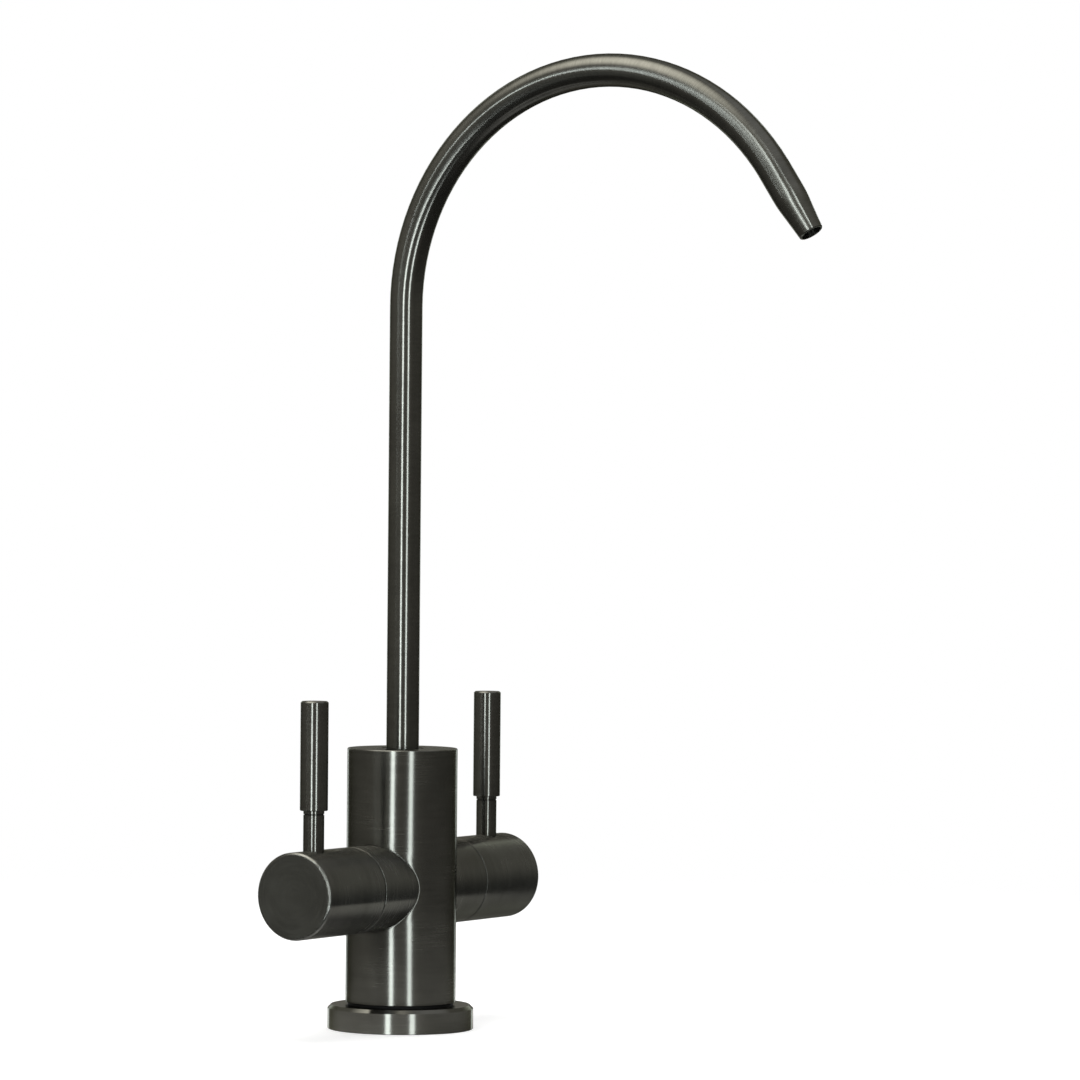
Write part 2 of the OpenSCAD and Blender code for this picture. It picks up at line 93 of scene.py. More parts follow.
class Surface:
    """One material, worked out from the place on the piece and the way that it faces."""

    def __init__(self, name):
        self.material = bpy.data.materials.new(name)
        self.material.use_nodes = True
        self.tree = self.material.node_tree
        self.shader = self.tree.nodes["Principled BSDF"]
        self.output = self.tree.nodes["Material Output"].inputs["Surface"]

    def feed(self, socket, value):
        """Links a socket to another one, or sets its value."""
        if isinstance(value, bpy.types.NodeSocket):
            self.tree.links.new(value, socket)
        else:
            socket.default_value = value

    def set(self, **inputs):
        """Feeds the shader's own sockets, named with _ for a space."""
        for name, value in inputs.items():
            self.feed(self.shader.inputs[name.replace("_", " ")], value)

    def math(self, operation, *values):
        """Maths with one, two or three numbers."""
        node = self.tree.nodes.new("ShaderNodeMath")
        node.operation = operation
        for socket, value in zip(node.inputs, values):
            self.feed(socket, value)
        return node.outputs[0]

    def vector(self, operation, *values):
        """Vector maths. Scale takes its factor as the second value."""
        node = self.tree.nodes.new("ShaderNodeVectorMath")
        node.operation = operation
        sockets = [node.inputs[0], node.inputs["Scale"]] if operation == "SCALE" else node.inputs
        for socket, value in zip(sockets, values):
            self.feed(socket, value)
        return node.outputs["Value" if operation in ("DOT_PRODUCT", "LENGTH") else "Vector"]

    def position(self, origin=(0, 0, 0)):
        """Place on the object at rest, from a chosen origin."""
        coordinates = self.tree.nodes.new("ShaderNodeTexCoord")
        return self.vector("SUBTRACT", coordinates.outputs["Object"], origin)

    def facing(self):
        """Direction that the surface faces, in the object's own frame."""
        return self.tree.nodes.new("ShaderNodeTexCoord").outputs["Normal"]

    def in_world(self, vector):
        """A direction of the object, turned as the object is turned."""
        node = self.tree.nodes.new("ShaderNodeVectorTransform")
        node.vector_type = "VECTOR"
        node.convert_from = "OBJECT"
        node.convert_to = "WORLD"
        self.feed(node.inputs[0], vector)
        return node.outputs[0]

    def parts_of(self, vector):
        """The three parts of a vector."""
        node = self.tree.nodes.new("ShaderNodeSeparateXYZ")
        self.feed(node.inputs[0], vector)
        return node.outputs

    def joined(self, x, y, z):
        """A vector of three parts."""
        node = self.tree.nodes.new("ShaderNodeCombineXYZ")
        for socket, value in zip(node.inputs, (x, y, z)):
            self.feed(socket, value)
        return node.outputs[0]

    def noise(self, vector, scale, detail=NOISE_DETAIL, w=None):
        """Soft noise from 0 to 1, in four dimensions where w is given."""
        node = self.tree.nodes.new("ShaderNodeTexNoise")
        node.noise_dimensions = "3D" if w is None else "4D"
        self.feed(node.inputs["Vector"], vector)
        node.inputs["Scale"].default_value = scale
        node.inputs["Detail"].default_value = detail
        if w is not None:
            self.feed(node.inputs["W"], w)
        return node.outputs[0]

    def ramp(self, value, start, end, low, high):
        """Value taken from start..end to low..high, and held there."""
        node = self.tree.nodes.new("ShaderNodeMapRange")
        node.interpolation_type = "SMOOTHSTEP"
        for socket, number in zip(node.inputs, (value, start, end, low, high)):
            self.feed(socket, number)
        return node.outputs[0]

    def mix(self, factor, first, second):
        """Colour between two others."""
        node = self.tree.nodes.new("ShaderNodeMix")
        node.data_type = "RGBA"
        colours = [socket for socket in node.inputs if socket.type == "RGBA"]
        self.feed(node.inputs[0], factor)
        for socket, colour in zip(colours, (first, second)):
            self.feed(socket, colour if isinstance(colour, bpy.types.NodeSocket) else (*colour, 1))
        return [socket for socket in node.outputs if socket.type == "RGBA"][0]

    def blend(self, factor, first, second):
        """Shader between two others."""
        node = self.tree.nodes.new("ShaderNodeMixShader")
        for socket, value in zip(node.inputs, (factor, first, second)):
            self.feed(socket, value)
        return node.outputs[0]

    def add(self, first, second):
        """Sum of two shaders."""
        node = self.tree.nodes.new("ShaderNodeAddShader")
        for socket, value in zip(node.inputs, (first, second)):
            self.feed(socket, value)
        return node.outputs[0]

    def bump(self, height, strength, distance, edge_round=None):
        """Fine relief of the surface, over edges that may be softly rounded."""
        node = self.tree.nodes.new("ShaderNodeBump")
        node.inputs["Strength"].default_value = strength
        node.inputs["Distance"].default_value = distance
        self.feed(node.inputs["Height"], height)
        if edge_round is not None:
            rounding = self.tree.nodes.new("ShaderNodeBevel")
            rounding.samples = EDGE_SAMPLES
            rounding.inputs["Radius"].default_value = edge_round
            self.feed(node.inputs["Normal"], rounding.outputs[0])
        self.feed(self.shader.inputs["Normal"], node.outputs[0])


# Share of the axis in the direction that a flat end faces, at least
END_SLANT = 0.9


class Turning:
    """Where a point lies on a turned piece: along its axis, away from it, and round it. The grain runs round
    the axis, and straight across the flat ends."""

    def __init__(self, surface, axis, centre):
        place = surface.position(centre)
        self.along = surface.vector("DOT_PRODUCT", place, axis)
        radial = surface.vector("SUBTRACT", place, surface.vector("SCALE", axis, self.along))
        self.radius = surface.vector("LENGTH", radial)
        self.direction = surface.vector("NORMALIZE", radial)
        around = surface.vector("NORMALIZE", surface.vector("CROSS_PRODUCT", axis, radial))
        along_axis = surface.math("ABSOLUTE", surface.vector("DOT_PRODUCT", surface.facing(), axis))
        on_end = surface.math("GREATER_THAN", along_axis, END_SLANT)
        on_side = surface.math("SUBTRACT", 1.0, on_end)
        self.on_end = on_end
        self.tangent = surface.vector("ADD", surface.vector("SCALE", around, on_side),
                                      surface.vector("SCALE", axis.cross(Y_AXIS), on_end))


# Dark plated metal: its colour where it is plain, its colour along a rubbed edge, which is lighter both from
# rubbing and as a painted highlight on the barrels' rims, and its tint at a slant
GUNMETAL = (0.0875, 0.0868, 0.0785)
GUNMETAL_RUBBED_AND_LIT = (0.36, 0.36, 0.34)
EDGE_TINT = (0.33, 0.33, 0.31)
# Share of the metal's light that is mirrored, not scattered
METALLIC = 0.92
# Turned lines: how many to the metre, how far each keeps its brightness round the piece, how finely they
# split, and their relief
LINE_DENSITY = 2400.0
LINE_WANDER = 1.6
LINE_DETAIL = 3.0
LINE_RELIEF = 0.01 * MM
LINE_BUMP = 0.025
# Soft clouds in the plating: how many to the metre, how finely they split, and the lines' share in the
# mixture of lines and clouds
CLOUD_SCALE = 70.0
CLOUD_DETAIL = 3.0
LINE_SHARE = 0.5
# Range of shade and of roughness, each with the stretch of the mixture that spans it
SHADE_RANGE = 0.17
SHADE_SPAN = (0.3, 0.7)
ROUGHNESS_RANGE = 0.022
ROUGHNESS_SPAN = (0.25, 0.75)
# Rubbed rims, lighter from rubbing and, on a barrel's rim, also as a painted highlight: how wide, how many
# patches to the metre, the stretch of noise that spans the patches and their shares, and the most lightening
# on a plain rim and on a barrel's rim
WEAR_AND_HIGHLIGHT_WIDTH = 0.65 * MM
WEAR_SCALE = 420.0
WEAR_SPAN = (0.35, 0.75)
WEAR_SHARES = (0.25, 1.0)
PLAIN_WEAR = 0.1
BARREL_WEAR_AND_HIGHLIGHT = 1.0
# Roughness of the turned pieces and of the bent tube, and how far their lines stretch the highlights
TURNED_ROUGHNESS = 0.26
BASE_ROUGHNESS = 0.23
GRIP_ROUGHNESS = 0.25
STEM_ROUGHNESS = 0.24
TUBE_ROUGHNESS = 0.215
TURNED_STRETCH = 0.97
TUBE_STRETCH = 0.87
# Part of a full turn that lays the stretched highlights across the lines
STRETCH_TURN = 0.25
# Share of the grain that shows on the thin, finely finished pieces
THIN_GRAIN = 0.3
# Roughness of a flat end, as a share of the side's
END_ROUGHNESS = 0.8
# Radius of the softly rounded edges
EDGE_ROUND = 0.7 * MM
# Rounded rim where each arm leaves the body: how high it stands, how far out it starts to rise, how far
# from the arm its top lies, and how round it is there
RIM_HEIGHT = 0.04 * MM
RIM_REACH = 3.0 * MM
RIM_TOP = 0.3 * MM
RIM_ROUND = 0.8 * MM
# Distance from the upright axis where the arms' own grain starts, clear of the rim
ARM_START = BODY_RADIUS + 2 * RIM_HEIGHT
# Light left in the narrow seams between turned pieces, and how far the shade reaches
SEAM_SHADE = 0.3
SEAM_DEPTH = 0.2 * MM
# Light left in a groove, and how far inside the piece's outside the shade is full and starts
GROOVE_SHADE = 0.15
GROOVE_FULL = 0.2 * MM
GROOVE_START = 0.05 * MM


def turned_lines(surface, direction, along, radius):
    """Fine lines left by turning and brushing, round the piece's axis."""
    count = surface.math("MULTIPLY", surface.math("ADD", along, radius), LINE_DENSITY)
    return surface.noise(surface.vector("SCALE", direction, LINE_WANDER), 1.0, LINE_DETAIL, w=count)


def rim_wear_and_highlight(surface, along, radius, rims, most=PLAIN_WEAR):
    """Share of rubbing and painted rim highlight near a piece's rims, each a place along the axis and a
    radius.
    """
    nearest = None
    for rim_along, rim_radius in rims:
        step = surface.math("SUBTRACT", along, rim_along)
        out = surface.math("SUBTRACT", radius, rim_radius)
        squares = [surface.math("POWER", part, 2) for part in (step, out)]
        distance = surface.math("SQRT", surface.math("ADD", *squares))
        nearest = distance if nearest is None else surface.math("MINIMUM", nearest, distance)
    close = surface.ramp(nearest, 0.0, WEAR_AND_HIGHLIGHT_WIDTH, most, 0.0)
    patches = surface.ramp(surface.noise(surface.position(), WEAR_SCALE), *WEAR_SPAN, *WEAR_SHARES)
    return surface.math("MULTIPLY", close, patches)


def mixture(surface, first, second, share):
    """Two noises in one, with the share of the first."""
    parts = (surface.math("MULTIPLY", first, share), surface.math("MULTIPLY", second, 1 - share))
    return surface.math("ADD", *parts)


def finish_metal(surface, lines, wear_and_highlight, tangent, roughness, stretch, depth=None, grain=1.0, on_end=None,
                 edge_round=None):
    """Colour, roughness and relief of the dark metal: lines, rubbing with painted rim highlight, painted
    shade.
    """
    clouds = surface.noise(surface.position(), CLOUD_SCALE, CLOUD_DETAIL)
    shade = mixture(surface, lines, clouds, LINE_SHARE)
    dark = tuple((1 - SHADE_RANGE) * part for part in GUNMETAL)
    light = tuple((1 + SHADE_RANGE) * part for part in GUNMETAL)
    plain = surface.mix(surface.ramp(shade, *SHADE_SPAN, 0.0, 1.0), dark, light)
    # Rims lighter from rubbing, and on the barrels also as a painted highlight
    colour = surface.mix(wear_and_highlight, plain, GUNMETAL_RUBBED_AND_LIT)
    if depth is not None:
        colour = surface.mix(depth, (0.0, 0.0, 0.0), colour)
    spread = grain * ROUGHNESS_RANGE
    rough = surface.ramp(shade, *ROUGHNESS_SPAN, roughness - spread, roughness + spread)
    if on_end is not None:
        rough = surface.math("MULTIPLY", rough, surface.ramp(on_end, 0.0, 1.0, 1.0, END_ROUGHNESS))
    surface.set(Base_Color=colour, Metallic=METALLIC, Specular_Tint=(*EDGE_TINT, 1), Roughness=rough)
    surface.set(Anisotropic=stretch, Anisotropic_Rotation=STRETCH_TURN, Tangent=surface.in_world(tangent))
    surface.bump(lines, LINE_BUMP * grain, LINE_RELIEF, edge_round)


def turned_metal(name, axis, centre, rims, roughness=TURNED_ROUGHNESS, outside=None, seam=None,
                 most_wear_and_highlight=PLAIN_WEAR, grain=1.0, edge_round=None):
    """Dark metal turned about one axis. Grooves well inside the outside radius are in shade, and so is the
    edge at a seam, which starts the piece along its axis."""
    surface = Surface(name)
    turning = Turning(surface, axis, centre)
    lines = turned_lines(surface, turning.direction, turning.along, turning.radius)
    wear_and_highlight = rim_wear_and_highlight(surface, turning.along, turning.radius, rims, most_wear_and_highlight)
    depth = None
    if outside is not None:
        depth = surface.ramp(turning.radius, outside - GROOVE_FULL, outside - GROOVE_START, GROOVE_SHADE, 1.0)
    if seam is not None:
        depth = surface.ramp(turning.along, seam, seam + SEAM_DEPTH, SEAM_SHADE, 1.0)
    finish_metal(surface, lines, wear_and_highlight, turning.tangent, roughness, TURNED_STRETCH, depth, grain,
                 turning.on_end, edge_round)
    return surface.material


def body_metal(name):
    """Dark metal of the body, turned about the upright axis, with arms turned about the valves' axis."""
    surface = Surface(name)
    upright = Turning(surface, Z_AXIS, (0, 0, 0))
    arm = Turning(surface, X_AXIS, (0, 0, VALVE_HEIGHT))
    on_arm = surface.math("GREATER_THAN", upright.radius, ARM_START)
    on_body = surface.math("SUBTRACT", 1.0, on_arm)
    body_lines, arm_lines = [turned_lines(surface, turning.direction, turning.along, turning.radius)
                             for turning in (upright, arm)]
    lines = surface.math("ADD", surface.math("MULTIPLY", body_lines, on_body),
                         surface.math("MULTIPLY", arm_lines, on_arm))
    body_wear = rim_wear_and_highlight(surface, upright.along, upright.radius,
                         [(BODY_TOP, BODY_RADIUS), (BODY_BOTTOM, BODY_RADIUS)])
    tangent = surface.vector("ADD", surface.vector("SCALE", upright.tangent, on_body),
                             surface.vector("SCALE", arm.tangent, on_arm))
    out = surface.math("ABSOLUTE", arm.along)
    depth = surface.ramp(out, ARM_REACH - SEAM_DEPTH, ARM_REACH, 1.0, SEAM_SHADE)
    wear_and_highlight = surface.math("MULTIPLY", body_wear, on_body)
    finish_metal(surface, lines, wear_and_highlight, tangent, TURNED_ROUGHNESS, TURNED_STRETCH, depth)
    return surface.material


def bent_tube_metal(name):
    """Dark metal of the spout, with lines that run round the tube also where it is bent."""
    surface = Surface(name)
    place = surface.position((0, -BEND_RADIUS, SPRING_HEIGHT))
    back, up = surface.parts_of(place)[1:]
    raw_angle = surface.math("ARCTAN2", up, back)
    angle = surface.math("MINIMUM", surface.math("MAXIMUM", raw_angle, 0.0), BEND_ANGLE)
    cosine = surface.math("COSINE", angle)
    sine = surface.math("SINE", angle)
    middle_line = surface.vector("SCALE", surface.joined(0.0, cosine, sine), BEND_RADIUS)
    onward = surface.joined(0.0, surface.math("MULTIPLY", sine, -1.0), cosine)
    offset = surface.vector("SUBTRACT", place, middle_line)
    beyond = surface.vector("DOT_PRODUCT", offset, onward)
    radial = surface.vector("SUBTRACT", offset, surface.vector("SCALE", onward, beyond))
    along = surface.math("ADD", surface.math("MULTIPLY", angle, BEND_RADIUS), beyond)
    radius = surface.vector("LENGTH", radial)
    lines = turned_lines(surface, surface.vector("NORMALIZE", radial), along, radius)
    outlet = BEND_RADIUS * BEND_ANGLE + NOSE_LENGTH
    wear_and_highlight = rim_wear_and_highlight(surface, along, radius, [(outlet, OUTLET_RADIUS)])
    tangent = surface.vector("NORMALIZE", surface.vector("CROSS_PRODUCT", onward, radial))
    finish_metal(surface, lines, wear_and_highlight, tangent, TUBE_ROUGHNESS, TUBE_STRETCH, grain=THIN_GRAIN)
    return surface.material


# Fine even grain: how finely it splits, how many times coarser its clouds are, the grain's share in the
# mixture of both, the stretch of noise that spans the shades, the range of roughness, and the relief
GRAIN_DETAIL = 4.0
GRAIN_CLOUD_SIZE = 12
GRAIN_SHARE = 0.6
GRAIN_SPAN = (0.3, 0.7)
GRAIN_ROUGHNESS_RANGE = 0.06
GRAIN_BUMP = 0.35


def grained(name, dark, light, roughness, scale, relief, metallic=0.0, gloss=0.5):
    """Material with a fine even grain: rubber, moulded plastic, fired ceramic or plain metal."""
    surface = Surface(name)
    place = surface.position()
    grain = surface.noise(place, scale, GRAIN_DETAIL)
    clouds = surface.noise(place, scale / GRAIN_CLOUD_SIZE)
    shade = mixture(surface, grain, clouds, GRAIN_SHARE)
    smoothest = roughness - GRAIN_ROUGHNESS_RANGE
    roughest = roughness + GRAIN_ROUGHNESS_RANGE
    surface.set(Base_Color=surface.mix(surface.ramp(shade, *GRAIN_SPAN, 0.0, 1.0), dark, light))
    surface.set(Roughness=surface.ramp(grain, *GRAIN_SPAN, smoothest, roughest))
    surface.set(Metallic=metallic, Specular_IOR_Level=gloss)
    surface.bump(grain, GRAIN_BUMP, relief)
    return surface.material


def dress(node, material):
    """Gives a piece its material."""
    mesh = nodes[node].data
    mesh.materials.clear()
    mesh.materials.append(material)


RUBBER = grained("seal_rubber", dark=(0.004, 0.004, 0.004), light=(0.009, 0.009, 0.009), roughness=0.7,
                 scale=2400.0, relief=0.02 * MM, gloss=0.15)
POLYMER = grained("dark_polymer", dark=(0.012, 0.012, 0.013), light=(0.022, 0.022, 0.023), roughness=0.45,
                  scale=1800.0, relief=0.01 * MM, gloss=0.2)
CERAMIC = grained("disc_ceramic", dark=(0.72, 0.69, 0.62), light=(0.80, 0.77, 0.71), roughness=0.22,
                  scale=3000.0, relief=0.002 * MM)
BRASS = grained("turned_brass", dark=(0.50, 0.33, 0.12), light=(0.62, 0.43, 0.18), roughness=0.27,
                scale=1500.0, relief=0.004 * MM, metallic=1.0)
SCREW_STEEL = grained("screw_steel", dark=(0.075, 0.075, 0.08), light=(0.11, 0.11, 0.115), roughness=0.38,
                      scale=2200.0, relief=0.006 * MM, metallic=1.0)
BODY_METAL = body_metal("body_gunmetal")

# Plain pieces of each valve, and those at the base and the spout
VALVE_PIECES = {
    "seat_seal": RUBBER,
    "cartridge_ring_seal": RUBBER,
    "spindle_ring_seal": RUBBER,
    "fixed_disc": CERAMIC,
    "moving_disc": CERAMIC,
    "cartridge": BRASS,
    "spindle": BRASS,
    "spindle_clip": SCREW_STEEL,
    "barrel_screw": SCREW_STEEL,
}
MIDDLE_PIECES = {
    "base_seal": RUBBER,
    "body_gasket": RUBBER,
    "spout_ring_seals": RUBBER,
    "spout_bush": POLYMER,
    "spout_washer": POLYMER,
    "flow_straightener": POLYMER,
    "spout_spigot": BRASS,
    "spout_keeper_screw": SCREW_STEEL,
}

# Rims that are rubbed, and on the barrels also lit with a painted highlight, each a place along the piece's
# axis and a radius
BASE_RIMS = [(BASE_TOP, BASE_RADIUS), (0, BASE_RADIUS)]
BARREL_RIMS = [(BARREL_END, BARREL_RADIUS)]
GRIP_RIMS = [(GRIP_BOTTOM, GRIP_RADIUS), (GRIP_TOP, GRIP_RADIUS)]
STEM_RIMS = [(GRIP_BOTTOM, STEM_RADIUS)]

dress("body", BODY_METAL)
dress("base_flange", turned_metal("base_gunmetal", Z_AXIS, (0, 0, 0), BASE_RIMS, BASE_ROUGHNESS))
dress("spout_tube", bent_tube_metal("spout_gunmetal"))
for side, sign in SIDES.items():
    valve_centre = (0, 0, VALVE_HEIGHT)
    lever_centre = (sign * LEVER_REACH, 0, 0)
    # The barrels' rims get the most lightening: rubbing and a painted highlight
    barrel = turned_metal(side + "_barrel_gunmetal", X_AXIS * sign, valve_centre, BARREL_RIMS,
                          seam=BARREL_START, most_wear_and_highlight=BARREL_WEAR_AND_HIGHLIGHT, edge_round=EDGE_ROUND)
    grip = turned_metal(side + "_grip_gunmetal", Z_AXIS, lever_centre, GRIP_RIMS, GRIP_ROUGHNESS,
                        grain=THIN_GRAIN)
    stem = turned_metal(side + "_stem_gunmetal", Z_AXIS, lever_centre, STEM_RIMS, STEM_ROUGHNESS,
                        outside=STEM_RADIUS, grain=THIN_GRAIN)
    dress(side + "_barrel", barrel)
    dress(side + "_lever_grip", grip)
    dress(side + "_lever_stem", stem)
    for piece, material in VALVE_PIECES.items():
        dress(side + "_" + piece, material)
for piece, material in MIDDLE_PIECES.items():
    dress(piece, material)


# Rounded rim where each arm leaves the body

# Steps of the rim: round the arm, up to its top and down from it
RIM_TURNS = 240
RIM_RISE_STEPS = 10
RIM_FALL_STEPS = 10
# How far the rim's far side and its hidden root lie below the body's surface
RIM_SINK = 0.01 * MM
RIM_ROOT = 0.35 * MM


def rim_profile():
    """Outline of the rim across its length, from its start on the body over its top towards the arm:
    distance from the arm and height above the body, and at the end the hidden root."""
    outline = []
    for step in range(RIM_RISE_STEPS):
        share = step / RIM_RISE_STEPS
        smooth = share * share * (3 - 2 * share)
        away = RIM_REACH + (RIM_TOP - RIM_REACH) * share
        outline.append((away, -RIM_SINK + (RIM_HEIGHT + RIM_SINK) * smooth))
    for step in range(RIM_FALL_STEPS + 1):
        past_top = RIM_TOP * step / RIM_FALL_STEPS
        drop = RIM_ROUND - math.sqrt(RIM_ROUND ** 2 - past_top ** 2)
        outline.append((RIM_TOP - past_top, RIM_HEIGHT - drop))
    outline.append((RIM_TOP, -RIM_ROOT))
    return outline


def rim_point(turn, away, height):
    """Point of the rim at an angle round the arm, at a distance from the arm and a height above the body."""
    corner_x = math.sqrt(BODY_RADIUS ** 2 - (BARREL_RADIUS * math.sin(turn)) ** 2)
    slant = math.hypot(1, BARREL_RADIUS * math.sin(turn) ** 2 / corner_x)
    reach = BARREL_RADIUS + away / slant
    y = reach * math.sin(turn)
    foot = Vector((math.sqrt(BODY_RADIUS ** 2 - y * y), y, 0))
    return foot * (1 + height / BODY_RADIUS) + Z_AXIS * (VALVE_HEIGHT + reach * math.cos(turn))


def saddle_rim(name, sign):
    """Closed low ridge that rounds the body's edge over to one arm."""
    profile = rim_profile()
    count = len(profile)
    corners = []
    faces = []
    for turn in range(RIM_TURNS):
        for away, height in profile:
            corner = rim_point(2 * math.pi * turn / RIM_TURNS, away, height)
            corners.append((sign * corner.x, corner.y, corner.z))
        here = turn * count
        there = (turn + 1) % RIM_TURNS * count
        for step in range(count):
            following = (step + 1) % count
            face = [here + step, here + following, there + following, there + step]
            faces.append(face if sign > 0 else face[::-1])
    mesh = bpy.data.meshes.new(name)
    mesh.from_pydata(corners, [], faces)
    mesh.shade_smooth()
    mesh.materials.append(BODY_METAL)
    piece = bpy.data.objects.new(name, mesh)
    bpy.context.scene.collection.objects.link(piece)
    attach(piece, "tap_body")


for side, sign in SIDES.items():
    saddle_rim(side + "_saddle_rim", sign)


# Camera, at the photograph's viewing angle

CAMERA_AZIMUTH = math.radians(-58.328)
CAMERA_ELEVATION = math.radians(0.962)
CAMERA_ROLL = math.radians(0.506)
CAMERA_DISTANCE = 1.7625
CAMERA_RIGHT = Vector((math.cos(CAMERA_AZIMUTH), math.sin(CAMERA_AZIMUTH), 0))
# Focal length in pixels of an image this wide, and the sensor's width in millimetres
FOCAL_PIXELS = 6076.4
IMAGE_PIXELS = 1080
SENSOR_WIDTH = 36.0
# Point in the middle of the view: to the right of the tap's axis, and above the worktop
AIM_RIGHT = 39.361 * MM
AIM_HEIGHT = 142.128 * MM
# Furthest distance that the camera sees
CAMERA_SIGHT = 20.0


def towards_camera(turn=0.0, elevation=0.0):
    """Level direction from the tap to the camera, turned further round the upright axis, or raised."""
    azimuth = CAMERA_AZIMUTH + turn
    level = math.cos(elevation)
    return Vector((math.sin(azimuth) * level, -math.cos(azimuth) * level, math.sin(elevation)))


def make_camera():
    """Camera that looks at the aim point, rolled a little about its own axis."""
    back = towards_camera(elevation=CAMERA_ELEVATION)
    up = back.cross(CAMERA_RIGHT)
    rolled_right = CAMERA_RIGHT * math.cos(CAMERA_ROLL) + up * math.sin(CAMERA_ROLL)
    rolled_up = up * math.cos(CAMERA_ROLL) - CAMERA_RIGHT * math.sin(CAMERA_ROLL)
    place = CAMERA_RIGHT * AIM_RIGHT + Z_AXIS * AIM_HEIGHT + back * CAMERA_DISTANCE
    data = bpy.data.cameras.new("camera")
    data.sensor_width = SENSOR_WIDTH
    data.lens = FOCAL_PIXELS / IMAGE_PIXELS * SENSOR_WIDTH
    data.clip_end = CAMERA_SIGHT
    camera = bpy.data.objects.new("camera", data)
    camera.matrix_world = Matrix((rolled_right, rolled_up, back)).transposed().to_4x4()
    camera.location = place
    bpy.context.scene.collection.objects.link(camera)
    bpy.context.scene.camera = camera


make_camera()


# Studio: pale floor, and the cards and lamps that the metal mirrors

WHITE = (1, 1, 1, 1)
# Strength of the even light from all round, and corners of the round stage pieces
DIFFUSE_LIGHT = 0.65
ROUND_SEGMENTS = 96
# Pale floor: its size, where it starts to fade, and its look
FLOOR_RADIUS = 0.62
FLOOR_FADE_START = 0.30
FLOOR_COLOUR = (0.86, 0.86, 0.86, 1)
FLOOR_ROUGHNESS = 0.9
FLOOR_GLOW = 0.45
# White sheet close under the tap: where its middle lies, its size, where it starts to fade, and how far it
# lies below the floor
SHEET_PLACE = Vector((25, 0, 0)) * MM
SHEET_RADIUS = 0.105
SHEET_FADE_START = 0.088
SHEET_DEPTH = 0.3 * MM
# Its brightness from the camera's left to the right, what is added in front, and the slants at which it
# starts to mirror and mirrors in full
SHEET_SIDES = (-0.2, 0.5)
SHEET_GLOWS = (0.87, 0.82)
SHEET_FRONT = (0.75, 1.0)
SHEET_FRONT_GLOW = 0.4
SHEET_MIRROR = (0.4, 0.8)
# Shade on the sheet in front of the base: where its middle lies, how far out it starts to clear and is gone
# along and across the valves' axis, and the light left in it
SHEET_SHADE_PLACE = Vector((5, -18, 0)) * MM
SHEET_SHADE_LENGTH = (0.015, 0.04)
SHEET_SHADE_WIDTH = (0.012, 0.032)
SHEET_SHADE = 0.25
# Grey wall round the tap: its size, how far round and up its greys change, and then the greys on the camera's
# left and right, low down and high up
WALL_RADIUS = 2.0
WALL_BOTTOM = -1.0
WALL_TOP = 2.2
WALL_SIDES = (0.35, 0.95)
WALL_HEIGHTS = (-0.5, 0.7)
WALL_LOW_GREYS = (0.17, 0.05)
WALL_HIGH_GREYS = (0.58, 0.42)
WALL_COLOUR = (1.0, 0.97, 0.86, 1)
# Dark ground below the wall, paler at the back on the camera's left: which way, how near to it, and its greys
GROUND_TURN = math.radians(-149)
GROUND_SIDES = (0.5, 0.95)
GROUND_GREYS = (0.05, 0.38)
# Upright strip lamps: distance, width and colour of all, and then for each the turn from the camera in
# degrees, the heights of its low and high end, and its radiance
STRIP_DISTANCE = 1.55
STRIP_WIDTH = 0.21
STRIP_COLOUR = (0.89, 0.97, 1.0)
STRIPS = {
    "front_left_strip": (-18.3, -0.75, 1.5, 15.0),
    "front_right_strip": (20.1, -0.75, 1.5, 12.0),
    "back_left_strip": (-158.0, -0.6, 1.2, 4.5),
    "back_right_strip": (158.0, -0.6, 1.2, 4.5),
}
# Soft lamp overhead, which gives the shadow on the floor
TOP_SIZE = 0.7
TOP_HEIGHT = 1.3
TOP_RADIANCE = 3.0
# Soft card above the arch: where it hangs, its size, where it starts to fade, and its brightness in the
# middle and at its edge
ARCH_CARD_PLACE = Vector((-0.35, 0.32, 1.30))
ARCH_CARD_RADIUS = 0.95
ARCH_CARD_FADE_START = 0.15
ARCH_CARD_GLOWS = (6.2, 0.6)
ARCH_CARD_COLOUR = (1.0, 0.97, 0.88, 1)
# Slanted lamp near the arch: turn from the camera, elevation, slant, distance, size, and look
HIGH_LAMP_TURN = math.radians(-52)
HIGH_LAMP_ELEVATION = math.radians(15)
HIGH_LAMP_SLANT = math.radians(34)
HIGH_LAMP_DISTANCE = 0.45
HIGH_LAMP_SIZE = (0.36, 0.042)
HIGH_LAMP_RADIANCE = 11.5
HIGH_LAMP_COLOUR = (0.87, 0.96, 1.0)


def seen_rays(tree):
    """1 for rays that show the backdrop: straight to the camera, mirrored or passed through."""
    path = tree.nodes.new("ShaderNodeLightPath")
    strongest = path.outputs["Is Camera Ray"]
    for name in ("Is Glossy Ray", "Is Transmission Ray"):
        larger = tree.nodes.new("ShaderNodeMath")
        larger.operation = "MAXIMUM"
        tree.links.new(strongest, larger.inputs[0])
        tree.links.new(path.outputs[name], larger.inputs[1])
        strongest = larger.outputs[0]
    return strongest


def make_world():
    """Even light from all round, which looks white to the camera and in the metal."""
    world = bpy.data.worlds.new("studio")
    world.use_nodes = True
    bpy.context.scene.world = world
    tree = world.node_tree
    background = tree.nodes["Background"]
    background.inputs["Color"].default_value = WHITE
    strength = tree.nodes.new("ShaderNodeMapRange")
    strength.inputs["To Min"].default_value = DIFFUSE_LIGHT
    tree.links.new(seen_rays(tree), strength.inputs["Value"])
    tree.links.new(strength.outputs[0], background.inputs["Strength"])


